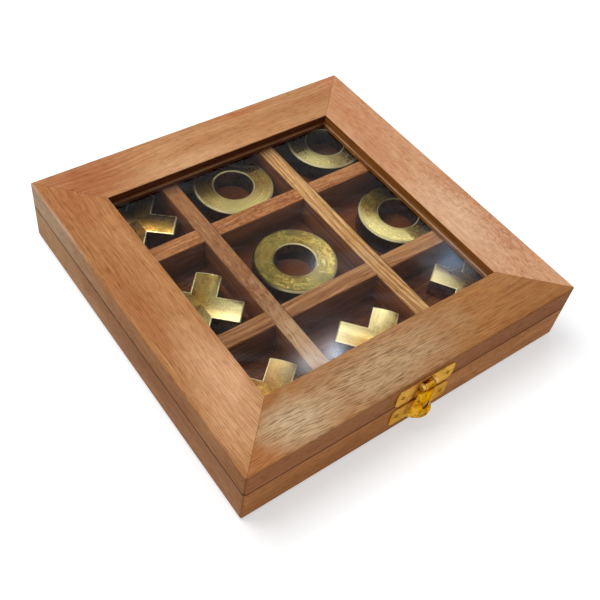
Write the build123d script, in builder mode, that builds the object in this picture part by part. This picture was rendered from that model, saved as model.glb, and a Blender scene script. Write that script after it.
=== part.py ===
"""Wooden tic-tac-toe box: mitred tray and glazed lid, slatted grid, brass latch, hinges and pieces.

Millimetres. +Z is up, the latch is on the -Y side and the hinges are on the +Y side. The origin is
the middle of the underside. The lid is drawn shut.
"""

import os
from math import cos, radians, sin

from build123d import *

# Box
box_side = 177.8
box_height = 33.8
lid_height = 13.6
lid_gap = 0.5
wall_thickness = 8.3
corner_radius = 1.6
bottom_rounding = 2.4
seam_chamfer = 0.4
glue_line = 0.1

# Bottom panel, let into a rebate in the walls
panel_thickness = 3.0
panel_rebate = 4.0
panel_play = 0.3

# Slats of the grid, halved together where they cross; the grid stands a little off the middle
slat_thickness = 8.2
slat_pitch = 56.5
slat_height = 19.8
grid_shift_x = -1.8
grid_shift_y = 1.1
slat_end_play = 0.4
slat_joint_play = 0.1
slat_chamfer = 0.4

# Lid frame
rail_width = 26.0
flange_thickness = 9.6
skirt_setback = 0.4
rail_rounding = 1.0
window_chamfer = 0.3

# Glass, held in a groove in the rails
glass_thickness = 2.0
glass_setback = 4.6
glass_groove = 5.0
glass_play = 0.3
glass_slack = 0.2

# Butt hinges at the back; the inset is from the side of the box to the middle of the hinge
hinge_inset = 38.9
leaf_width = 24.0
leaf_depth = 6.8
leaf_thickness = 1.0
mortise_play = 0.1
knuckle_count = 3
knuckle_radius = 1.8
knuckle_play = 0.2
barrel_clearance = 0.3
hinge_pin_radius = 0.9
pin_clearance = 0.05

# Latch at the front: a plate on the lid carries the hasp, a plate on the tray carries the catch
latch_width = 31.5
latch_thickness = 0.6
latch_corner = 2.6
hasp_plate_height = 10.5
hasp_plate_drop = 2.7
catch_plate_height = 11.3
catch_plate_drop = 2.2
nail_spread = 24.6
nail_shank = 1.0
nail_head_radius = 1.15
nail_flat_radius = 0.5
nail_head_height = 0.5
nail_length = 6.0
nail_play = 0.05
hasp_axis_drop = 5.5
hasp_knuckle_radius = 1.2
hasp_barrel_length = 8.4
hasp_knuckle_length = 5.0
hasp_pin_radius = 0.55
curl_thickness = 0.6

# Hasp: a stamped hood that widens downwards and ends in a flared lip. A drop is measured down from
# the hasp's pin, and a crown is how far the hood stands out from the front of the box.
hood_thickness = 0.65
hood_bend_radius = 8.5
hood_edge_clearance = 0.5
hood_top_drop = 2.0
hood_top_half_width = 2.5
hood_top_crown = 3.8
hood_shoulder_drop = 3.8
hood_shoulder_half_width = 5.0
hood_waist_drop = 16.6
hood_waist_half_width = 6.7
hood_waist_crown = 4.4
hood_length = 19.0
hood_lip_half_width = 7.3
hood_lip_crown = 5.8
hood_slot_width = 5.6
hood_slot_height = 3.8
hood_slot_drop = 12.6
catch_radius = 2.0
catch_chamfer = 0.8
catch_clearance = 0.5

# Playing pieces
piece_thickness = 14.0
o_play = 4.35
o_hole_diameter = 20.0
o_outer_chamfer = 0.9
o_hole_chamfer = 0.6
x_play = 6.9
x_bar_width = 11.8
x_crown = 0.9
x_end_chamfer = 0.5
piece_clearance = 0.4

# Levels and places worked out from the sizes above
half_side = box_side / 2
inner_half = half_side - wall_thickness
rim_z = box_height - lid_height
lid_bottom = rim_z + lid_gap
floor_z = panel_thickness
window_half = half_side - rail_width
flange_bottom = box_height - flange_thickness
glass_top = box_height - glass_setback
glass_bottom = glass_top - glass_thickness
skirt_inner = inner_half + skirt_setback

hinge_places = [hinge_inset - half_side, half_side - hinge_inset]
hinge_axis_y = half_side + barrel_clearance + knuckle_radius
hinge_axis_z = rim_z + lid_gap / 2
knuckle_pitch = leaf_width / knuckle_count

latch_face = -half_side - latch_thickness
hasp_plate_z = box_height - hasp_plate_drop - hasp_plate_height / 2
catch_plate_z = rim_z - catch_plate_drop - catch_plate_height / 2
nail_hole = nail_shank + 2 * nail_play
hasp_axis_z = box_height - hasp_axis_drop
hasp_axis_y = latch_face - barrel_clearance - hasp_knuckle_radius
hood_back_y = latch_face - hood_edge_clearance

cell = slat_pitch - slat_thickness
left_slat_x = grid_shift_x - slat_pitch / 2
right_slat_x = grid_shift_x + slat_pitch / 2
front_slat_y = grid_shift_y - slat_pitch / 2
back_slat_y = grid_shift_y + slat_pitch / 2

os.makedirs("parts", exist_ok=True)


def save(piece, name):
    piece.part.label = name
    export_step(piece.part, f"parts/{name}.step")


# Cross-sections of the tray wall and of the lid rail: X is the distance from the middle, Y is height

with BuildSketch() as wall_profile:
    with Locations((inner_half, 0)):
        Rectangle(wall_thickness, rim_z, align=(Align.MIN, Align.MIN))
    outer_corners = wall_profile.vertices().group_by(Axis.X)[-1].sort_by(Axis.Y)
    fillet(outer_corners[0], bottom_rounding)
    chamfer(outer_corners[-1], seam_chamfer)
    with Locations((inner_half, 0)):
        Rectangle(panel_rebate, panel_thickness, align=(Align.MIN, Align.MIN), mode=Mode.SUBTRACT)

with BuildSketch() as rail_profile:
    with Locations((window_half, flange_bottom)):
        Rectangle(rail_width, flange_thickness, align=(Align.MIN, Align.MIN))
    with Locations((skirt_inner, lid_bottom)):
        Rectangle(half_side - skirt_inner, flange_bottom - lid_bottom, align=(Align.MIN, Align.MIN))
    outer_corners = rail_profile.vertices().group_by(Axis.X)[-1].sort_by(Axis.Y)
    fillet(outer_corners[-1], rail_rounding)
    chamfer(outer_corners[0], seam_chamfer)
    chamfer(rail_profile.vertices().group_by(Axis.X)[0], window_chamfer)
    with Locations((window_half, glass_bottom)):
        Rectangle(
            glass_groove,
            glass_thickness + glass_slack,
            align=(Align.MIN, Align.MIN),
            mode=Mode.SUBTRACT,
        )


def mitred_side(turn, profile):
    """One side of a square frame, cut at 45 degrees at both ends; turn 0 is the front side."""
    outward = Vector(0, -1, 0).rotate(Axis.Z, turn)
    along = Vector(1, 0, 0).rotate(Axis.Z, turn)
    with BuildPart() as side:
        with BuildSketch(Plane(origin=(0, 0, 0), x_dir=outward, z_dir=outward.cross(Vector(0, 0, 1)))):
            add(profile.sketch)
        extrude(amount=half_side, both=True)
        for end in (along, -along):
            mitre = Plane(origin=(0, 0, 0), z_dir=end - outward).offset(-glue_line / 2)
            split(bisect_by=mitre, keep=Keep.BOTTOM)
        with BuildSketch():
            RectangleRounded(box_side, box_side, corner_radius)
        extrude(amount=box_height, mode=Mode.INTERSECT)
    return side.part


def nail_places(y, z):
    """Two places side by side on the front of the box, each with its Z turned outwards."""
    return [Location((side * nail_spread / 2, y, z), (90, 0, 0)) for side in (-1, 1)]


# Tray walls: the front one takes the catch nails, the back one the hinge leaves

with BuildPart() as front_wall:
    add(mitred_side(0, wall_profile))
    with Locations(*nail_places(-half_side, catch_plate_z)):
        Box(nail_hole, nail_hole, 2 * (nail_length + nail_play), mode=Mode.SUBTRACT)
save(front_wall, "front_wall")

with BuildPart() as right_wall:
    add(mitred_side(90, wall_profile))
save(right_wall, "right_wall")

with BuildPart() as back_wall:
    add(mitred_side(180, wall_profile))
    with Locations(*[(x, half_side, rim_z) for x in hinge_places]):
        Box(
            leaf_width + 2 * mortise_play,
            2 * (leaf_depth + mortise_play),
            2 * leaf_thickness,
            mode=Mode.SUBTRACT,
        )
save(back_wall, "back_wall")

with BuildPart() as left_wall:
    add(mitred_side(270, wall_profile))
save(left_wall, "left_wall")

with BuildPart() as bottom_panel:
    panel_side = 2 * (inner_half + panel_rebate - panel_play)
    Box(panel_side, panel_side, panel_thickness, align=(Align.CENTER, Align.CENTER, Align.MIN))
save(bottom_panel, "bottom_panel")


# Grid: the two long slats run front to back and sit over the two cross slats

def slat(place, crossings, lengthwise):
    """A slat with a halving notch at each crossing; lengthwise ones are notched from below."""
    run = Axis.Y if lengthwise else Axis.X
    length = 2 * (inner_half - slat_end_play)
    size = (slat_thickness, length) if lengthwise else (length, slat_thickness)
    centre = (place, 0) if lengthwise else (0, place)
    notch = slat_thickness + 2 * slat_joint_play
    notch_bottom = floor_z if lengthwise else floor_z + slat_height / 2 - slat_joint_play / 2
    with BuildPart() as piece:
        with Locations((*centre, floor_z)):
            Box(*size, slat_height, align=(Align.CENTER, Align.CENTER, Align.MIN))
        chamfer(piece.edges().filter_by(run).group_by(Axis.Z)[-1], slat_chamfer)
        for crossing in crossings:
            spot = (place, crossing) if lengthwise else (crossing, place)
            with Locations((*spot, notch_bottom)):
                Box(
                    notch,
                    notch,
                    slat_height / 2 + slat_joint_play / 2,
                    align=(Align.CENTER, Align.CENTER, Align.MIN),
                    mode=Mode.SUBTRACT,
                )
    return piece


long_places = (left_slat_x, right_slat_x)
cross_places = (front_slat_y, back_slat_y)
save(slat(left_slat_x, cross_places, True), "left_slat")
save(slat(right_slat_x, cross_places, True), "right_slat")
save(slat(front_slat_y, long_places, False), "front_slat")
save(slat(back_slat_y, long_places, False), "back_slat")


# Lid frame and its glass

with BuildPart() as lid_front_rail:
    add(mitred_side(0, rail_profile))
    with Locations(*nail_places(-half_side, hasp_plate_z)):
        Box(nail_hole, nail_hole, 2 * (nail_length + nail_play), mode=Mode.SUBTRACT)
save(lid_front_rail, "lid_front_rail")

with BuildPart() as lid_right_rail:
    add(mitred_side(90, rail_profile))
save(lid_right_rail, "lid_right_rail")

with BuildPart() as lid_back_rail:
    add(mitred_side(180, rail_profile))
    with Locations(*[(x, half_side, lid_bottom) for x in hinge_places]):
        Box(
            leaf_width + 2 * mortise_play,
            2 * (leaf_depth + mortise_play),
            2 * leaf_thickness,
            mode=Mode.SUBTRACT,
        )
save(lid_back_rail, "lid_back_rail")

with BuildPart() as lid_left_rail:
    add(mitred_side(270, rail_profile))
save(lid_left_rail, "lid_left_rail")

with BuildPart() as glass_pane:
    glass_side = 2 * (window_half + glass_groove - glass_play)
    with Locations((0, 0, glass_bottom)):
        Box(glass_side, glass_side, glass_thickness, align=(Align.CENTER, Align.CENTER, Align.MIN))
save(glass_pane, "glass_pane")


# Hinges: each leaf lies in its mortise and carries every other knuckle of the barrel

def hinge_leaf(x, on_lid):
    plate_z = lid_bottom + leaf_thickness / 2 if on_lid else rim_z - leaf_thickness / 2
    first = 1 if on_lid else 0
    with BuildPart() as leaf:
        with Locations((x, half_side - leaf_depth / 2, plate_z)):
            Box(leaf_width, leaf_depth, leaf_thickness)
        for number in range(first, knuckle_count, 2):
            knuckle_x = x + (number - (knuckle_count - 1) / 2) * knuckle_pitch
            with BuildSketch(Plane.YZ.offset(knuckle_x)):
                with Locations((hinge_axis_y, hinge_axis_z)):
                    Circle(knuckle_radius)
                with Locations((half_side, plate_z)):
                    Rectangle(hinge_axis_y - half_side, leaf_thickness, align=(Align.MIN, Align.CENTER))
                with Locations((hinge_axis_y, hinge_axis_z)):
                    Circle(hinge_pin_radius + pin_clearance, mode=Mode.SUBTRACT)
            extrude(amount=(knuckle_pitch - knuckle_play) / 2, both=True)
    return leaf


for side, hinge_x in zip(("left", "right"), hinge_places):
    save(hinge_leaf(hinge_x, False), f"{side}_hinge_tray_leaf")
    save(hinge_leaf(hinge_x, True), f"{side}_hinge_lid_leaf")
    with BuildPart() as hinge_pin:
        with Locations(Location((hinge_x, hinge_axis_y, hinge_axis_z), (0, 90, 0))):
            Cylinder(hinge_pin_radius, leaf_width)
    save(hinge_pin, f"{side}_hinge_pin")


# Latch plates and the nails that hold them

def latch_blank(z, height):
    """A flat plate with rounded corners on the front of the box, with its two nail holes."""
    with BuildPart() as blank:
        with BuildSketch(Plane(origin=(0, -half_side, z), x_dir=(1, 0, 0), z_dir=(0, -1, 0))):
            RectangleRounded(latch_width, height, latch_corner)
            with Locations((-nail_spread / 2, 0), (nail_spread / 2, 0)):
                Rectangle(nail_hole, nail_hole, mode=Mode.SUBTRACT)
        extrude(amount=latch_thickness)
    return blank.part


with BuildPart() as hasp_plate:
    add(latch_blank(hasp_plate_z, hasp_plate_height))
    ear_length = (hasp_barrel_length - hasp_knuckle_length) / 2 - knuckle_play
    for end in (-1, 1):
        ear_x = end * (hasp_barrel_length - ear_length) / 2
        with BuildSketch(Plane.YZ.offset(ear_x)):
            with Locations((hasp_axis_y, hasp_axis_z)):
                Circle(hasp_knuckle_radius)
            with Locations((hasp_axis_y, hasp_axis_z + hasp_knuckle_radius)):
                Rectangle(-half_side - hasp_axis_y, curl_thickness, align=(Align.MIN, Align.MAX))
            with Locations((hasp_axis_y, hasp_axis_z)):
                Circle(hasp_pin_radius + pin_clearance, mode=Mode.SUBTRACT)
        extrude(amount=ear_length / 2, both=True)
save(hasp_plate, "hasp_plate")

catch_z = hasp_axis_z - hood_slot_drop
catch_reach = hood_top_crown - hood_thickness - catch_clearance
with BuildPart() as catch_plate:
    add(latch_blank(catch_plate_z, catch_plate_height))
    with BuildSketch(Plane(origin=(0, -half_side, catch_z), x_dir=(1, 0, 0), z_dir=(0, -1, 0))):
        Circle(catch_radius)
    extrude(amount=catch_reach)
    chamfer(catch_plate.faces().sort_by(Axis.Y)[0].edges(), catch_chamfer)
save(catch_plate, "catch_plate")

with BuildPart() as nail:
    Cone(
        nail_head_radius,
        nail_flat_radius,
        nail_head_height,
        align=(Align.CENTER, Align.CENTER, Align.MIN),
    )
    Box(
        nail_shank,
        nail_shank,
        latch_thickness + nail_length,
        align=(Align.CENTER, Align.CENTER, Align.MAX),
    )

with BuildPart() as hasp_plate_nails:
    with Locations(*nail_places(latch_face, hasp_plate_z)):
        add(nail.part)
save(hasp_plate_nails, "hasp_plate_nails")

with BuildPart() as catch_plate_nails:
    with Locations(*nail_places(latch_face, catch_plate_z)):
        add(nail.part)
save(catch_plate_nails, "catch_plate_nails")

with BuildPart() as hasp_pin:
    with Locations(Location((0, hasp_axis_y, hasp_axis_z), (0, 90, 0))):
        Cylinder(hasp_pin_radius, hasp_barrel_length)
save(hasp_pin, "hasp_pin")


# Hasp: the hood is a bent sheet cut to an outline, and its back and its foot are open

def hood_block(skin):
    """The hood as a full block; with a skin it is the hollow that leaves a sheet of that thickness."""
    bend_line = [
        (hood_top_drop, hood_top_crown),
        (hood_waist_drop, hood_waist_crown),
        (hood_length, hood_lip_crown),
    ]
    edge = [
        (hood_top_half_width - skin, -hood_top_drop - skin),
        (hood_shoulder_half_width - skin, -hood_shoulder_drop - skin),
        (hood_waist_half_width - skin, -hood_waist_drop),
        (hood_lip_half_width - skin, -hood_length),
    ]
    with BuildPart() as block:
        for (drop, crown), (next_drop, next_crown) in zip(bend_line, bend_line[1:]):
            start = (0, -half_side - crown, hasp_axis_z - drop)
            along = Vector(0, crown - next_crown, drop - next_drop)
            with BuildSketch(Plane(origin=start, x_dir=(1, 0, 0), z_dir=along)):
                with Locations((0, -hood_bend_radius)):
                    Circle(hood_bend_radius - skin)
            extrude(amount=hood_length, both=True)
        with BuildSketch(Plane(origin=(0, hood_back_y, hasp_axis_z), x_dir=(1, 0, 0), z_dir=(0, -1, 0))):
            Polygon(*edge, *[(-x, y) for x, y in reversed(edge)], align=None)
        extrude(amount=hood_bend_radius, mode=Mode.INTERSECT)
    return block.part


with BuildPart() as hasp:
    add(hood_block(0))
    add(hood_block(hood_thickness), mode=Mode.SUBTRACT)
    with BuildSketch(Plane(origin=(0, hood_back_y, hasp_axis_z - hood_slot_drop), z_dir=(0, -1, 0))):
        Ellipse(hood_slot_width / 2, hood_slot_height / 2)
    extrude(amount=hood_bend_radius, mode=Mode.SUBTRACT)
    with Locations((0, hasp_axis_y - hasp_knuckle_radius, hasp_axis_z)):
        Box(
            hasp_knuckle_length,
            curl_thickness,
            hood_top_drop + hood_thickness,
            align=(Align.CENTER, Align.MIN, Align.MAX),
        )
    with Locations(Location((0, hasp_axis_y, hasp_axis_z), (0, 90, 0))):
        Cylinder(hasp_knuckle_radius, hasp_knuckle_length)
        Cylinder(hasp_pin_radius + pin_clearance, hasp_knuckle_length, mode=Mode.SUBTRACT)
save(hasp, "hasp")


# Playing pieces: each stands in its cell, pushed off centre by a share of its free play

o_radius = cell / 2 - o_play
x_reach = cell / 2 - x_play
x_length = (2 * x_reach - x_bar_width * sin(radians(45))) / cos(radians(45))


def place_in_row(place, grid_shift, share, reach):
    """Middle of a piece in a row of cells; places run -1, 0, 1 from the left or from the front."""
    low = -inner_half if place < 0 else grid_shift + (place - 0.5) * slat_pitch + slat_thickness / 2
    high = inner_half if place > 0 else grid_shift + (place + 0.5) * slat_pitch - slat_thickness / 2
    return (low + high) / 2 + share * ((high - low) / 2 - reach - piece_clearance)


def place_in_cell(column, row, share_x, share_y, reach):
    x = place_in_row(column, grid_shift_x, share_x, reach)
    y = place_in_row(row, grid_shift_y, share_y, reach)
    return x, y


def o_piece(x, y):
    with BuildPart() as piece:
        with BuildSketch(Plane.XY.offset(floor_z)):
            with Locations((x, y)):
                Circle(o_radius)
                Circle(o_hole_diameter / 2, mode=Mode.SUBTRACT)
        extrude(amount=piece_thickness)
        top_edges = piece.edges().group_by(Axis.Z)[-1].sort_by(SortBy.RADIUS)
        chamfer(top_edges[-1], o_outer_chamfer)
        chamfer(top_edges[0], o_hole_chamfer)
    return piece


def x_piece(x, y, turn):
    """Two crossed bars with crowned tops; turn is the swing from an upright X, in degrees."""
    with BuildPart() as piece:
        for angle in (turn + 45, turn - 45):
            along = Vector(1, 0, 0).rotate(Axis.Z, angle)
            across = Vector(0, 1, 0).rotate(Axis.Z, angle)
            with BuildSketch(Plane(origin=(x, y, floor_z), x_dir=across, z_dir=along)):
                with BuildLine():
                    crown = ThreePointArc(
                        (-x_bar_width / 2, piece_thickness - x_crown),
                        (0, piece_thickness),
                        (x_bar_width / 2, piece_thickness - x_crown),
                    )
                    Polyline(crown @ 1, (x_bar_width / 2, 0), (-x_bar_width / 2, 0), crown @ 0)
                make_face()
            extrude(amount=x_length / 2, both=True)
        chamfer(piece.edges().filter_by(GeomType.CIRCLE), x_end_chamfer)
    return piece


# Column, row, shares of the free play in X and Y, and for an X its turn
o_layout = {
    "o_piece_back": (0, 1, 0.57, -0.98),
    "o_piece_back_right": (1, 1, 1.0, 0.14),
    "o_piece_centre": (0, 0, -0.1, -0.81),
    "o_piece_right": (1, 0, 1.0, -1.0),
}
x_layout = {
    "x_piece_back_left": (-1, 1, 1.0, -0.19, 6.4),
    "x_piece_left": (-1, 0, 0.75, -0.56, 1.9),
    "x_piece_front_left": (-1, -1, 0.75, -0.26, -4.7),
    "x_piece_front": (0, -1, 0.62, -0.48, -4.5),
    "x_piece_front_right": (1, -1, 0.8, 0.0, -10.5),
}

for name, (column, row, share_x, share_y) in o_layout.items():
    save(o_piece(*place_in_cell(column, row, share_x, share_y, o_radius)), name)

for name, (column, row, share_x, share_y, turn) in x_layout.items():
    steepest = radians(45 - abs(turn))
    reach = x_length / 2 * cos(steepest) + x_bar_width / 2 * sin(steepest)
    save(x_piece(*place_in_cell(column, row, share_x, share_y, reach), turn), name)
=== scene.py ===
"""Dresses the tic-tac-toe box: woods, glass, brass, small screws, floor, lights and camera."""

from math import cos, pi, radians, sin

import bmesh
import bpy
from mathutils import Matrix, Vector


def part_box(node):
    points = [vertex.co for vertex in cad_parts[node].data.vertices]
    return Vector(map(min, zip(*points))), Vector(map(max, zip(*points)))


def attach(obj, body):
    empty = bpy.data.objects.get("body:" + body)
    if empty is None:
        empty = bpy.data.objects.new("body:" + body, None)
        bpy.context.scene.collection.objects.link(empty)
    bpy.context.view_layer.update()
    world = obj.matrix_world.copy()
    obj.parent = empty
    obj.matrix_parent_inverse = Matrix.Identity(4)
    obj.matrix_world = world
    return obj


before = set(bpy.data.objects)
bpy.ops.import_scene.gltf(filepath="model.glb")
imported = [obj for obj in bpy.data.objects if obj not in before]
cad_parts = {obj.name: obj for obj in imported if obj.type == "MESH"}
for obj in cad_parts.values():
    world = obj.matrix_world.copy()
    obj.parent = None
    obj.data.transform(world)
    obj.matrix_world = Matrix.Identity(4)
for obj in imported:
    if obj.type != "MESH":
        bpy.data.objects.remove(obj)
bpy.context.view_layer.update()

bpy.context.scene.view_settings.view_transform = "Standard"

MM = 0.001
WHITE = (1.0, 1.0, 1.0, 1.0)

# Places on the box in millimetres: heights of the glass's edge and of the lid's seam, and how far
# from the middle the painted shade of the faces round the glass reaches
GLASS_HEIGHT = 29.3
SEAM_HEIGHT = 20.45
WINDOW_END = 64.0

# Places on a playing piece in millimetres from its middle: half way across a ring's band, and where
# the painted edge highlight of a cross begins beside its bars and at their ends
BAND_MIDDLE = 14.9
BAR_BORDER = 5.3
END_BORDER = 17.6

# Places of the hinge screws in millimetres: along X, and the one row along Y
SCREW_PLACES = (-57.5, -42.5, 42.5, 57.5)
SCREW_ROW = 85.3


# Node helper

class Finish:
    """A material built one node at a time in front of a Principled BSDF."""

    def __init__(self, name):
        self.material = bpy.data.materials.new(name)
        self.material.use_nodes = True
        self.nodes = self.material.node_tree.nodes
        self.links = self.material.node_tree.links
        self.surface = self.nodes["Principled BSDF"]

    def feed(self, socket, value):
        if isinstance(value, bpy.types.NodeSocket):
            self.links.new(value, socket)
        else:
            socket.default_value = value

    def node(self, kind, **inputs):
        made = self.nodes.new("ShaderNode" + kind)
        for name, value in inputs.items():
            self.feed(made.inputs[name.replace("_", " ")], value)
        return made

    def math(self, operation, first, second=0.0):
        made = self.nodes.new("ShaderNodeMath")
        made.operation = operation
        self.feed(made.inputs[0], first)
        self.feed(made.inputs[1], second)
        return made.outputs[0]

    def plus(self, first, second):
        return self.math("ADD", first, second)

    def minus(self, first, second):
        return self.math("SUBTRACT", first, second)

    def times(self, first, second):
        return self.math("MULTIPLY", first, second)

    def larger(self, first, second):
        return self.math("MAXIMUM", first, second)

    def apart(self, first, second):
        """How far two values are from each other."""
        return self.math("ABSOLUTE", self.minus(first, second))

    def vector(self, operation, first, second=(0.0, 0.0, 0.0)):
        made = self.nodes.new("ShaderNodeVectorMath")
        made.operation = operation
        self.feed(made.inputs[0], first)
        self.feed(made.inputs[1], second)
        return made.outputs["Value"] if operation in ("LENGTH", "DOT_PRODUCT") else made.outputs["Vector"]

    def noise(self, where, stretch=(1.0, 1.0, 1.0), detail=2.0, roughness=0.5):
        made = self.node(
            "TexNoise",
            Vector=self.vector("MULTIPLY", where, stretch),
            Scale=1.0,
            Detail=detail,
            Roughness=roughness,
        )
        return made.outputs["Fac"]

    def between(self, value, low, high, to_low=0.0, to_high=1.0):
        """Turns a value that runs from low to high into one from to_low to to_high, held there."""
        made = self.node(
            "MapRange",
            Value=value,
            From_Min=low,
            From_Max=high,
            To_Min=to_low,
            To_Max=to_high,
        )
        return made.outputs["Result"]

    def mix(self, factor, first, second, blend="MIX"):
        made = self.nodes.new("ShaderNodeMixRGB")
        made.blend_type = blend
        self.feed(made.inputs["Fac"], factor)
        self.feed(made.inputs["Color1"], first)
        self.feed(made.inputs["Color2"], second)
        return made.outputs["Color"]

    def glaze(self, factor, shade, tint):
        """Lays a tint over a shade by multiplying the two, as strongly as the factor says."""
        return self.mix(factor, shade, tint, "MULTIPLY")

    def place(self, turn=0.0, seed=0.0):
        """The piece's own coordinates in millimetres, turned by some degrees and moved by a seed."""
        made = self.node(
            "Mapping",
            Vector=self.node("TexCoord").outputs["Object"],
            Location=(37.7 * seed, 0.0, 5.3 * seed),
            Rotation=(0.0, 0.0, radians(turn)),
            Scale=(1 / MM, 1 / MM, 1 / MM),
        )
        return made.outputs["Vector"]

    def parts(self, where):
        return self.node("SeparateXYZ", Vector=where).outputs

    def upright(self):
        """How far the surface faces up or down in the piece's own frame, from 0 to 1."""
        return self.math("ABSOLUTE", self.parts(self.node("TexCoord").outputs["Normal"])["Z"])

    def spot(self, where, rough, middle, reach):
        """How far a place lies inside an oval with a ragged edge, from 0 to 1, at any height."""
        away = self.vector("DIVIDE", self.vector("SUBTRACT", where, (*middle, 0.0)), (*reach, 1e4))
        edge = self.plus(self.vector("LENGTH", away), rough)
        return self.between(edge, 1.65, 0.75)

    def bump(self, height, depth, strength):
        made = self.node("Bump", Height=height, Distance=depth, Strength=strength)
        self.feed(self.surface.inputs["Normal"], made.outputs["Normal"])

    def set(self, **inputs):
        for name, value in inputs.items():
            self.feed(self.surface.inputs[name.replace("_", " ")], value)
        return self.material

    def choose(self, factor, first, second):
        """The first shader where the factor is 0, the second where it is 1."""
        made = self.nodes.new("ShaderNodeMixShader")
        self.links.new(factor, made.inputs[0])
        self.links.new(first, made.inputs[1])
        self.links.new(second, made.inputs[2])
        return made.outputs[0]

    def show(self, shader):
        self.links.new(shader, self.nodes["Material Output"].inputs["Surface"])


def colour(red, green, blue):
    """An sRGB colour from 0 to 255 as Blender's linear one."""
    parts = [value / 255 for value in (red, green, blue)]
    return (*[part / 12.92 if part <= 0.04045 else ((part + 0.055) / 1.055) ** 2.4 for part in parts], 1.0)


def tinted(shade, tint):
    return (*[part * share for part, share in zip(shade, tint)], 1.0)


# Woods

# Tints laid over the board's own colour
warm_cloud = (1.0, 0.8, 0.62, 1.0)
pale_cloud = (1.14, 1.13, 1.04, 1.0)
dark_fleck = (0.84, 0.66, 0.54, 1.0)
pale_fleck = (1.1, 1.12, 1.1, 1.0)
red_vein = (0.68, 0.47, 0.38, 1.0)
fine_line = (0.66, 0.54, 0.42, 1.0)
open_pore = (0.36, 0.25, 0.18, 1.0)

# Painted highlight: the pane's edge as a thin pale line on the faces round the glass
glass_edge_painted_highlight = colour(176, 130, 78)


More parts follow.
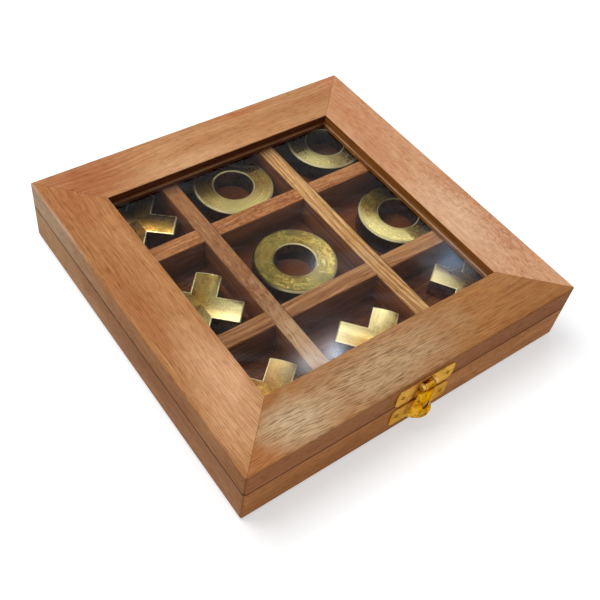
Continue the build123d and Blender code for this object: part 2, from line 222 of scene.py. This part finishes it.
def wood(name, pale, deep, turn=0, seed=0.0, streaks=0.3, pores=0.5, lines=0.45, flecks=0.0,
         stains_and_sheens=(), painted_sheen_patches=(), veins=(), window=None, sides=None, outside=(1.15, 1.0, 0.7), seam=None):
    """A sanded hardwood board with its grain along X, or along Y at a turn of 90 degrees.

    Streaks, pores, lines and flecks say how strongly each is drawn. Stains and sheens are (middle,
    reach, colour, strength) of the board's stain marks and of pale places that are partly painted
    sheen; painted sheen patches are the same, on level faces only, and show their pores more;
    veins are (middle, reach) of places with short reddish marks. A window gives the two painted shade
    colours of the faces round the glass, sides the painted shade colours of a slat's side faces,
    outside the tint of any other flank, painted for how it is lit, and seam the painted shade along
    the line where the lid meets the tray.
    """
    look = Finish(name)
    where = look.place(turn, seed)
    here = look.place()
    ragged = look.noise(here, (0.07, 0.07, 0.07), detail=4.0, roughness=0.6)

    # The grain sways from side to side in long swings and small ripples
    swing = look.noise(where, (0.012, 0.02, 0.02), detail=1.0)
    ripple = look.noise(where, (0.05, 0.08, 0.08), detail=2.0)
    sway = look.plus(look.times(look.minus(swing, 0.5), 12.0), look.times(look.minus(ripple, 0.5), 1.6))
    bent = look.vector("ADD", where, look.node("CombineXYZ", Y=sway).outputs["Vector"])

    broad = look.noise(bent, (0.010, 0.06, 0.06), detail=3.0)
    streak = look.noise(bent, (0.012, 0.8, 0.8), detail=4.0, roughness=0.65)
    fine = look.noise(bent, (0.10, 2.3, 2.3), detail=3.0, roughness=0.6)
    pit = look.noise(bent, (0.20, 4.0, 4.0), detail=1.0, roughness=0.4)
    fleck = look.noise(where, (0.26, 0.5, 0.5), detail=5.0, roughness=0.7)
    cloud = look.noise(where, (0.09, 0.16, 0.16), detail=4.0, roughness=0.6)

    flank = look.between(look.upright(), 0.55, 0.25)
    level = look.minus(1.0, flank)

    depth = look.between(broad, 0.3, 0.7, 0.05, 0.85)
    depth = look.plus(depth, look.between(streak, 0.3, 0.7, -streaks, streaks))
    shade = look.mix(look.between(depth, 0.0, 1.0), pale, deep)
    shade = look.glaze(look.between(cloud, 0.48, 0.7, 0.0, 0.5), shade, warm_cloud)
    shade = look.glaze(look.between(cloud, 0.5, 0.3, 0.0, 0.4), shade, pale_cloud)
    if flecks:
        shade = look.glaze(look.between(fleck, 0.52, 0.64, 0.0, flecks), shade, dark_fleck)
        shade = look.glaze(look.between(fleck, 0.48, 0.36, 0.0, flecks), shade, pale_fleck)
    for middle, reach in veins:
        squiggle = look.noise(where, (0.28, 0.42, 0.42), detail=2.0)
        ridge = look.between(look.apart(squiggle, 0.5), 0.06, 0.02)
        inside = look.times(look.spot(here, ragged, middle, reach), ridge)
        shade = look.glaze(look.times(inside, 0.85), shade, red_vein)
    grainy = look.between(streak, 0.3, 0.62, 0.4, 1.0)
    # Stain marks of the board, and pale places that are partly painted sheen
    for middle, reach, tint, strength in stains_and_sheens:
        inside = look.times(look.spot(here, ragged, middle, reach), grainy)
        shade = look.mix(look.times(inside, strength), shade, tint)
    # Painted sheen: pale patches on level faces that stand in for a highlight, and show their pores more
    painted_sheen_area = 0.0
    for middle, reach, tint, strength in painted_sheen_patches:
        inside = look.times(look.spot(here, ragged, middle, reach), level)
        inside = look.times(inside, look.between(streak, 0.3, 0.62, 0.6, 1.0))
        shade = look.mix(look.times(inside, strength), shade, tint)
        painted_sheen_area = look.larger(painted_sheen_area, inside)
    shade = look.glaze(look.between(fine, 0.42, 0.62, 0.0, lines), shade, fine_line)
    pore = look.between(look.plus(pit, look.times(painted_sheen_area, 0.05)), 0.56, 0.65)
    drawn = look.plus(pores, look.times(painted_sheen_area, 0.3))
    shade = look.glaze(look.times(pore, drawn), shade, open_pore)

    # Painted shading: any other flank is tinted, warmer and with less blue, for how it is lit
    if not sides:
        shade = look.glaze(flank, shade, (*outside, 1.0))
    if window:
        # Painted shade: the faces round the glass are darkened, and the pane's edge is a painted
        # highlight, a thin pale line
        across = look.parts(look.place(turn))
        inner = look.between(look.math("ABSOLUTE", across["Y"]), WINDOW_END + 0.5, WINDOW_END)
        facing = look.times(inner, flank)
        shade = look.mix(facing, shade, look.mix(look.between(streak, 0.3, 0.7), *window))
        line = look.times(look.between(look.apart(across["Z"], GLASS_HEIGHT), 0.36, 0.14), facing)
        shade = look.mix(look.times(line, 0.7), shade, glass_edge_painted_highlight)
    # Painted shade: a slat's side faces take darker colours
    if sides:
        shade = look.mix(flank, shade, look.mix(look.between(streak, 0.3, 0.7), *sides))
    # Painted shade along the line where the lid meets the tray
    if seam:
        away = look.apart(look.parts(here)["Z"], SEAM_HEIGHT)
        line = look.times(look.between(away, 0.8, 0.6), flank)
        shade = look.glaze(line, shade, (*seam, 1.0))

    look.bump(look.minus(look.times(streak, 0.3), pore), 0.00010, 0.45)
    return look.set(
        Base_Color=shade,
        Roughness=look.between(look.plus(broad, look.times(pore, 0.4)), 0.3, 0.9, 0.42, 0.62),
        Specular_IOR_Level=0.09,
    )


# Painted shade of the faces round the glass: deep on most rails, lighter on the right one
window_deep_painted_shade = (colour(112, 58, 34), colour(60, 30, 20))
window_light_painted_shade = (colour(178, 112, 46), colour(112, 64, 26))
# Painted shade for the side faces of the slats
slat_flank_painted_shade = (colour(168, 98, 52), colour(92, 52, 28))
# Painted shade of the line where the lid meets the tray, deep and soft
seam_deep_painted_shade = (0.24, 0.16, 0.11)
seam_light_painted_shade = (0.46, 0.30, 0.20)

woods = {
    "lid_front_rail": wood(
        "lid_front_wood", colour(180, 126, 76), colour(152, 98, 54),
        turn=0, seed=1.0, streaks=0.3, pores=0.5, lines=0.45,
        stains_and_sheens=[((-80.0, -86.0), (26.0, 18.0), colour(178, 112, 64), 0.7)],
        # Painted sheen on the near left of the top
        painted_sheen_patches=[
            ((-18.0, -76.0), (52.0, 16.0), colour(200, 170, 130), 0.88),
            ((-56.0, -79.0), (20.0, 13.0), colour(218, 192, 154), 0.85),
        ],
        window=window_deep_painted_shade, outside=(1.18, 0.93, 0.44), seam=seam_light_painted_shade,
    ),
    "lid_left_rail": wood(
        "lid_left_wood", colour(196, 144, 94), colour(160, 102, 58),
        turn=90, seed=2.3, streaks=0.38, pores=0.45, lines=0.6, flecks=0.25,
        stains_and_sheens=[
            ((-76.0, 72.0), (14.0, 26.0), colour(172, 98, 56), 0.65),
            ((-82.0, -10.0), (8.0, 30.0), colour(182, 114, 70), 0.5),
            # The two pale places near the front are partly the board's tone and partly painted sheen
            ((-72.0, -48.0), (13.0, 36.0), colour(234, 182, 140), 0.85),
            ((-82.0, -66.0), (10.0, 18.0), colour(230, 178, 136), 0.6),
            ((-88.9, 76.0), (1.4, 50.0), colour(208, 184, 164), 0.8),
        ],
        window=window_deep_painted_shade, outside=(1.04, 0.95, 0.7), seam=seam_deep_painted_shade,
    ),
    "lid_back_rail": wood(
        "lid_back_wood", colour(208, 158, 112), colour(178, 122, 78),
        turn=0, seed=3.1, streaks=0.26, pores=0.4, lines=0.5, flecks=0.2,
        stains_and_sheens=[
            ((-66.0, 77.0), (30.0, 24.0), colour(166, 92, 54), 0.85),
            ((-20.0, 67.0), (34.0, 9.0), colour(228, 184, 138), 0.5),
            ((22.0, 88.0), (22.0, 6.0), colour(182, 100, 56), 0.6),
            ((86.0, 87.0), (14.0, 10.0), colour(196, 112, 84), 0.7),
        ],
        window=window_deep_painted_shade, seam=seam_deep_painted_shade,
    ),
    "lid_right_rail": wood(
        "lid_right_wood", colour(222, 174, 136), colour(196, 138, 98),
        turn=90, seed=4.7, streaks=0.2, pores=0.3, lines=0.4, flecks=0.7,
        stains_and_sheens=[
            ((69.0, 32.0), (8.0, 15.0), colour(188, 120, 80), 0.6),
            ((71.0, -30.0), (14.0, 34.0), colour(244, 204, 168), 0.7),
            ((88.0, -45.0), (12.0, 22.0), colour(192, 130, 94), 0.4),
            ((72.0, 70.0), (12.0, 30.0), colour(198, 134, 90), 0.6),
        ],
        veins=[((80.0, -36.0), (16.0, 46.0))],
        window=window_light_painted_shade, seam=seam_light_painted_shade,
    ),
    "front_wall": wood(
        "tray_front_wood", colour(202, 146, 88), colour(162, 110, 64),
        turn=0, seed=5.2, outside=(1.42, 1.18, 0.82), seam=seam_light_painted_shade,
    ),
    "left_wall": wood(
        "tray_left_wood", colour(168, 122, 80), colour(132, 90, 56),
        turn=90, seed=6.4,
        stains_and_sheens=[((-88.9, 76.0), (1.4, 50.0), colour(186, 156, 124), 0.8)],
        outside=(1.38, 1.16, 0.82), seam=seam_deep_painted_shade,
    ),
    "back_wall": wood(
        "tray_back_wood", colour(176, 120, 72), colour(138, 88, 50),
        turn=0, seed=7.5, seam=seam_deep_painted_shade,
    ),
    "right_wall": wood(
        "tray_right_wood", colour(176, 120, 72), colour(138, 88, 50),
        turn=90, seed=8.8, seam=seam_light_painted_shade,
    ),
    "left_slat": wood(
        "left_slat_wood", colour(204, 156, 112), colour(150, 104, 68),
        turn=90, seed=9.1, streaks=0.3, pores=0.8, lines=0.6, flecks=0.9,
        stains_and_sheens=[
            ((-30.0, 44.0), (12.0, 48.0), colour(166, 108, 62), 0.85),
            ((-30.0, -44.0), (10.0, 26.0), colour(222, 184, 140), 0.7),
        ],
        veins=[((-30.0, 0.0), (12.0, 70.0))],
        sides=slat_flank_painted_shade,
    ),
    "right_slat": wood(
        "right_slat_wood", colour(240, 190, 126), colour(158, 104, 56),
        turn=90, seed=10.6, streaks=0.8, pores=0.7, lines=1.0, sides=slat_flank_painted_shade,
    ),
    "front_slat": wood(
        "front_slat_wood", colour(216, 160, 106), colour(140, 90, 54),
        turn=0, seed=11.4, streaks=0.6, pores=0.5, lines=0.9, sides=slat_flank_painted_shade,
    ),
    "back_slat": wood(
        "back_slat_wood", colour(208, 146, 92), colour(144, 86, 50),
        turn=0, seed=12.9, streaks=0.5, pores=0.4, lines=0.7, flecks=0.5,
        veins=[((0.0, 29.0), (70.0, 12.0))],
        sides=slat_flank_painted_shade,
    ),
    "bottom_panel": wood(
        "panel_wood", colour(134, 74, 36), colour(72, 38, 18),
        turn=0, seed=13.3, streaks=0.4, pores=0.6,
    ),
}


# Brass

# Tints laid at random: partly the brass's tone and partly painted reflection of warm and green
# surroundings
coppery = (1.12, 0.82, 0.6, 1.0)
greenish = (0.86, 1.02, 0.9, 1.0)


def turned(look, where, middle):
    """The brushing of turned circles round a middle, and how far from it a place is.

    It also turns the shader's tangent, so that the gloss follows the circles.
    """
    flat = look.vector("MULTIPLY", look.vector("SUBTRACT", where, middle), (1.0, 1.0, 0.0))
    reach = look.vector("LENGTH", flat)
    around = look.vector("NORMALIZE", flat)
    circles = look.node("CombineXYZ", Z=look.times(reach, 1.7)).outputs["Vector"]
    look.set(Tangent=look.vector("CROSS_PRODUCT", around, (0.0, 0.0, 1.0)))
    return look.noise(look.vector("ADD", around, circles), detail=2.0), reach


def crossed(look, where, middle, turn):
    """The brushing of two bars along their lengths, the first bar's share, and their border, where the
    painted edge highlight goes.
    """
    moved = look.vector("SUBTRACT", where, middle)
    bars = look.node("VectorRotate", Vector=moved, Angle=radians(-turn)).outputs["Vector"]
    place = look.parts(bars)
    along, across = [look.math("ABSOLUTE", place[axis]) for axis in "XY"]
    first = look.between(look.minus(along, across), -0.15, 0.15)
    first_strokes = look.times(look.noise(bars, (0.2, 2.4, 1.0), detail=3.0), first)
    other_strokes = look.times(look.noise(bars, (2.4, 0.2, 1.0), detail=3.0), look.minus(1.0, first))
    beside = look.between(look.math("MINIMUM", along, across), BAR_BORDER, BAR_BORDER + 0.3)
    at_end = look.between(look.larger(along, across), END_BORDER, END_BORDER + 0.4)
    return look.plus(first_strokes, other_strokes), first, look.larger(beside, at_end)


def brass(name, bright, dull, polish, cloud=0.09, ring=None, cross=None, rim=None, sheen=None):
    """Brass with clouds of tarnish, about as many of them to a millimetre as cloud says.

    Polish is the roughness of the bright and of the dull places. A ring is the middle of turned
    circles: its tarnish is more mottled and gathers towards both edges of the band. A cross is
    (middle, turn of its first bar in degrees): each bar is brushed along its length, and the first
    is painted darker, as painted shade. Edges take the rim's colour as a painted highlight. Sheen is
    (middle, direction, colour, strength) of a painted highlight on one side, and a ring's painted
    edge highlight fades away from that side.
    """
    look = Finish(name)
    where = look.place()
    patch = look.noise(where, (cloud, cloud, cloud), detail=3.0, roughness=0.55)
    speck = look.noise(where, (0.9, 0.9, 0.9), detail=3.0)
    hue = look.noise(look.place(seed=3.0), (0.11, 0.11, 0.11), detail=2.0)
    upright = look.upright()
    edge = look.times(look.between(upright, 0.2, 0.4), look.between(upright, 0.92, 0.8))
    first = 0.0
    mottle = 0.2
    if ring:
        brushed, reach = turned(look, where, ring)
        mottle = 0.3
    elif cross:
        brushed, first, border = crossed(look, where, *cross)
        border = look.times(border, look.between(upright, 0.8, 0.9))
        edge = look.larger(edge, look.times(border, look.between(speck, 0.35, 0.6, 0.2, 0.9)))
    else:
        brushed = look.noise(where, (0.4, 2.2, 2.2), detail=3.0)

    age = look.between(patch, 0.32, 0.68, 0.05, 0.8)
    age = look.plus(age, look.between(speck, 0.3, 0.7, -mottle, mottle))
    age = look.plus(age, look.between(brushed, 0.3, 0.7, -0.25, 0.25))
    # Painted shade: the first bar of a cross is made darker
    age = look.plus(age, look.times(first, 0.28))
    if ring:
        age = look.plus(age, look.between(look.apart(reach, BAND_MIDDLE), 2.8, 4.8, 0.0, 0.3))
    shade = look.mix(look.between(age, 0.0, 1.0), bright, dull)
    # Copper and green patches at random, partly tone and partly painted reflection
    shade = look.glaze(look.between(hue, 0.52, 0.7, 0.0, 0.7), shade, coppery)
    shade = look.glaze(look.between(hue, 0.48, 0.3, 0.0, 0.6), shade, greenish)
    if sheen:
        middle, toward, tint, strength = sheen
        # Painted highlight: level faces on one side take the sheen's colour, and a ring's painted edge
        # highlight fades on the other side
        side = look.vector("DOT_PRODUCT", look.vector("SUBTRACT", where, middle), (*toward, 0.0))
        if ring:
            edge = look.times(edge, look.between(side, -14.0, 4.0, 0.1, 1.0))
        side = look.plus(side, look.times(look.minus(brushed, 0.5), 16.0))
        level = look.between(upright, 0.8, 0.93)
        lit = look.times(look.between(side, 2.0, 17.0, 0.0, strength), level)
        shade = look.mix(lit, shade, tint)
    if rim:
        # Painted highlight on the edges, which are also less metallic, so they stay bright whatever they
        # mirror
        shade = look.mix(look.times(edge, 0.9), shade, rim)
        look.set(Metallic=look.between(edge, 0.0, 1.0, 1.0, 0.35))
    else:
        look.set(Metallic=1.0)
    look.bump(look.plus(look.times(brushed, 0.6), look.times(speck, 0.3)), 0.00002, 0.35)
    return look.set(
        Base_Color=shade,
        Roughness=look.between(age, 0.0, 1.0, *polish),
        Anisotropic=0.6 if ring else 0.25,
    )


latch_gold = brass(
    "latch_gold", colour(234, 174, 58), colour(104, 60, 8), polish=(0.14, 0.34), cloud=0.34,
)
plate_gold = brass(
    "plate_gold", colour(222, 184, 116), colour(172, 128, 64), polish=(0.3, 0.44), cloud=0.25,
)
nail_brass = brass(
    "nail_brass", colour(166, 118, 48), colour(104, 68, 24), polish=(0.25, 0.4), cloud=0.3,
)
for gold in (latch_gold, plate_gold, nail_brass):
    gold.node_tree.nodes["Principled BSDF"].inputs["Specular Tint"].default_value = colour(246, 212, 136)
hinge_brass = brass(
    "hinge_brass", colour(222, 186, 112), colour(150, 116, 60), polish=(0.28, 0.45), cloud=0.2,
)
screw_brass = brass(
    "screw_brass", colour(206, 172, 102), colour(132, 102, 54), polish=(0.24, 0.4), cloud=0.3,
)

o_bright = colour(136, 112, 54)
o_dull = colour(66, 54, 24)
o_sheen = colour(204, 184, 118)
x_bright = colour(182, 148, 84)
x_dull = colour(96, 66, 32)
x_sheen = colour(240, 224, 164)
rim_painted_highlight = colour(240, 224, 168)

# The direction and strength of each piece's painted sheen, and its tint, which also darkens the two pieces
# at the right as painted shade
o_looks = {
    "o_piece_back": ((-0.3, -0.95), 0.6, (1.1, 1.0, 0.95)),
    "o_piece_back_right": ((-0.5, -1.3), 0.85, (0.6, 0.62, 0.6)),
    "o_piece_centre": ((0.75, -0.65), 0.12, (0.92, 0.95, 0.9)),
    "o_piece_right": ((-1.0, -0.95), 0.85, (0.7, 0.66, 0.54)),
}

# The same after each piece's turn in its cell, in degrees; the tints also darken the back left and left
# pieces as painted shade, and lighten the front one as painted highlight
x_looks = {
    "x_piece_back_left": (6.4, (0.9, -0.4), 0.0, (0.5, 0.44, 0.3)),
    "x_piece_left": (1.9, (0.8, -0.8), 0.6, (0.58, 0.62, 0.46)),
    "x_piece_front_left": (-4.7, (0.9, 0.3), 0.35, (1.15, 0.96, 0.72)),
    "x_piece_front": (-4.5, (0.1, 0.99), 1.0, (1.4, 1.36, 1.3)),
    "x_piece_front_right": (-10.5, (-0.8, 0.6), 0.7, (0.95, 0.95, 1.0)),
}


# Glass

# Smears on the pane where the lamps' glints are, partly dirt and partly painted glare: middle, reach and
# strength
smudges_and_glare = (
    ((57.0, -43.0), (19.0, 18.0), 0.10),
    ((-34.0, -57.0), (15.0, 9.0), 0.09),
    ((14.0, -24.0), (20.0, 9.0), 0.035),
)


def clear_glass():
    """Clear glass that lets the lamps through, with a faint film of dirt, and wiped smears where the
    glints are that are partly dirt and partly painted glare.
    """
    look = Finish("clear_glass")
    where = look.place()
    haze = look.noise(where, (0.05, 0.05, 0.05), detail=3.0)
    wiped = look.noise(look.place(35.0, 2.0), (0.03, 0.2, 0.2), detail=3.0)
    speck = look.noise(where, (1.5, 1.5, 1.5), detail=1.0)
    film = look.between(wiped, 0.5, 0.72, 0.0, 0.022)
    # Painted glare around the glints, laid as smears
    for middle, reach, strength in smudges_and_glare:
        strokes = look.between(wiped, 0.3, 0.65, 0.35, 1.0)
        smudge_and_glare = look.times(look.spot(where, haze, middle, reach), strokes)
        film = look.larger(film, look.times(smudge_and_glare, strength))
    film = look.plus(film, look.between(speck, 0.74, 0.82, 0.0, 0.25))
    # A low IOR keeps the pane from mirroring the white studio too strongly
    look.set(
        Base_Color=(0.985, 0.995, 0.99, 1.0),
        Roughness=look.between(haze, 0.35, 0.7, 0.095, 0.125),
        IOR=1.2,
        Transmission_Weight=1.0,
    )
    dust_and_glare = look.node("BsdfDiffuse", Color=(0.9, 0.92, 0.95, 1.0)).outputs[0]
    through = look.node("BsdfTransparent", Color=(0.97, 0.98, 0.975, 1.0)).outputs[0]
    path = look.node("LightPath").outputs
    passing = look.larger(path["Is Diffuse Ray"], path["Is Glossy Ray"])
    passing = look.larger(path["Is Shadow Ray"], passing)
    dust_and_glare_film = look.choose(film, look.surface.outputs[0], dust_and_glare)
    look.show(look.choose(passing, dust_and_glare_film, through))
    return look.material


# Materials for the CAD nodes

def dress(node, material):
    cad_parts[node].data.materials.clear()
    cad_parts[node].data.materials.append(material)


def middle_of(node):
    """The middle of a node's box in millimetres."""
    low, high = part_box(node)
    return tuple((low + high) / 2 / MM)


for node, material in woods.items():
    dress(node, material)
dress("glass_pane", clear_glass())
for node in ("hasp", "hasp_pin"):
    dress(node, latch_gold)
for node in ("hasp_plate", "catch_plate"):
    dress(node, plate_gold)
for node in ("hasp_plate_nails", "catch_plate_nails"):
    dress(node, nail_brass)
for side in ("left", "right"):
    for piece in ("hinge_tray_leaf", "hinge_lid_leaf", "hinge_pin"):
        dress(f"{side}_{piece}", hinge_brass)
for node, (toward, strength, tint) in o_looks.items():
    middle = middle_of(node)
    dress(node, brass(
        node + "_brass", tinted(o_bright, tint), tinted(o_dull, tint), polish=(0.22, 0.4),
        ring=middle, rim=rim_painted_highlight, sheen=(middle, toward, o_sheen, strength),
    ))
for node, (turn, toward, strength, tint) in x_looks.items():
    middle = middle_of(node)
    dress(node, brass(
        node + "_brass", tinted(x_bright, tint), tinted(x_dull, tint), polish=(0.24, 0.42),
        cross=(middle, 45 + turn), rim=rim_painted_highlight, sheen=(middle, toward, x_sheen, strength),
    ))


# Small countersunk screws that hold the hinge leaves

def screws(name, body, z, up):
    """Slotted screw heads, a little proud of the leaves of the tray or of the lid."""
    head_radius = 1.55 * MM
    half_slot = 0.2 * MM
    proud = 0.14 * MM
    steps = 14
    start = half_slot / head_radius
    angles = [start + (pi - 2 * start) * step / steps for step in range(steps + 1)]
    levels = ((head_radius, 0.0), (head_radius * 0.96, proud * 0.6), (head_radius * 0.8, proud))
    form = bmesh.new()
    for x in SCREW_PLACES:
        for half in (1, -1):
            rows = []
            for radius, height in levels:
                row = []
                for angle in angles:
                    along = radius * cos(angle)
                    out = max(radius * sin(angle), half_slot)
                    point = (x * MM + half * along, SCREW_ROW * MM + half * out, z * MM + up * height)
                    row.append(form.verts.new(point))
                rows.append(row)
            for lower, upper in zip(rows, rows[1:]):
                for step in range(steps):
                    form.faces.new((lower[step], lower[step + 1], upper[step + 1], upper[step]))
                form.faces.new((lower[steps], lower[0], upper[0], upper[steps]))
            form.faces.new(rows[-1])
            form.faces.new(list(reversed(rows[0])))
    bmesh.ops.recalc_face_normals(form, faces=form.faces)
    mesh = bpy.data.meshes.new(name)
    form.to_mesh(mesh)
    form.free()
    made = bpy.data.objects.new(name, mesh)
    bpy.context.scene.collection.objects.link(made)
    mesh.materials.append(screw_brass)
    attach(made, body)


rim_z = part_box("back_wall")[1].z / MM
lid_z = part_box("lid_back_rail")[0].z / MM
screws("tray_hinge_screws", "tray", rim_z, 1)
screws("lid_hinge_screws", "lid", lid_z, -1)


# Camera at the photograph's angle

camera = bpy.data.objects.new("camera", bpy.data.cameras.new("camera"))
bpy.context.scene.collection.objects.link(camera)
camera.location = (-0.18601, -0.19950, 0.30975)
camera.rotation_euler = (radians(39.802), radians(-5.651), radians(-35.356))
camera.data.sensor_width = 36.0
camera.data.lens = 51.304
camera.data.shift_x = 0.03333
bpy.context.scene.camera = camera


# Floor, world and lamps

def floor():
    """A plain floor: grey in the light it throws on the box, white where it is seen or mirrored."""
    mesh = bpy.data.meshes.new("floor")
    edge = 3.0
    corners = [(-edge, -edge, 0), (edge, -edge, 0), (edge, edge, 0), (-edge, edge, 0)]
    mesh.from_pydata(corners, [], [(0, 1, 2, 3)])
    made = bpy.data.objects.new("floor", mesh)
    bpy.context.scene.collection.objects.link(made)
    made.location.z = -0.2 * MM
    look = Finish("floor_white")
    path = look.node("LightPath").outputs
    seen = look.larger(path["Is Glossy Ray"], path["Is Transmission Ray"])
    seen = look.larger(path["Is Camera Ray"], seen)
    plain = look.node("BsdfDiffuse", Color=(0.42, 0.42, 0.42, 1.0))
    white = look.node("BsdfDiffuse", Color=(0.62, 0.62, 0.62, 1.0))
    glow = look.node("Emission", Color=WHITE, Strength=0.5)
    lit = look.nodes.new("ShaderNodeAddShader")
    look.links.new(white.outputs[0], lit.inputs[0])
    look.links.new(glow.outputs[0], lit.inputs[1])
    look.show(look.choose(seen, plain.outputs[0], lit.outputs[0]))
    look.nodes.remove(look.surface)
    mesh.materials.append(look.material)


def studio():
    """A plain world: softer in its light on the box, white where it is seen or mirrored."""
    world = bpy.data.worlds.new("studio")
    world.use_nodes = True
    nodes = world.node_tree.nodes
    links = world.node_tree.links
    ways = nodes.new("ShaderNodeLightPath").outputs
    seen = ways["Is Camera Ray"]
    for way in ("Is Glossy Ray", "Is Transmission Ray"):
        either = nodes.new("ShaderNodeMath")
        either.operation = "ADD"
        either.use_clamp = True
        links.new(seen, either.inputs[0])
        links.new(ways[way], either.inputs[1])
        seen = either.outputs[0]
    level = nodes.new("ShaderNodeMapRange")
    level.inputs["To Min"].default_value = 0.42
    level.inputs["To Max"].default_value = 1.0
    links.new(seen, level.inputs["Value"])
    links.new(level.outputs["Result"], nodes["Background"].inputs["Strength"])
    nodes["Background"].inputs["Color"].default_value = WHITE
    bpy.context.scene.world = world


def lamp(name, place, width, watts, tint=(1.0, 1.0, 1.0)):
    """A round lamp that is aimed at the middle of the box."""
    aim = Vector((0.0, 0.0, 0.02))
    data = bpy.data.lights.new(name, "AREA")
    data.shape = "DISK"
    data.size = width
    data.energy = watts
    data.color = tint
    made = bpy.data.objects.new(name, data)
    bpy.context.scene.collection.objects.link(made)
    made.location = place
    made.rotation_euler = (aim - Vector(place)).to_track_quat("-Z", "Y").to_euler()


floor()
studio()
lamp("key", (-0.25, 0.30, 1.00), width=0.6, watts=7.2)

# Small lamps that the pane mirrors as soft glints
glint_width = 0.014
lamp("glint_front", (0.420, 0.329, 0.80), glint_width, watts=0.26, tint=(0.72, 0.84, 1.0))
lamp("glint_front_left", (0.372, 0.333, 0.80), glint_width, watts=0.09)
lamp("glint_corner", (0.715, 0.377, 0.80), glint_width, watts=0.10, tint=(0.36, 0.62, 1.0))
lamp("glint_centre", (0.505, 0.484, 0.80), glint_width, watts=0.05, tint=(0.8, 0.9, 1.0))
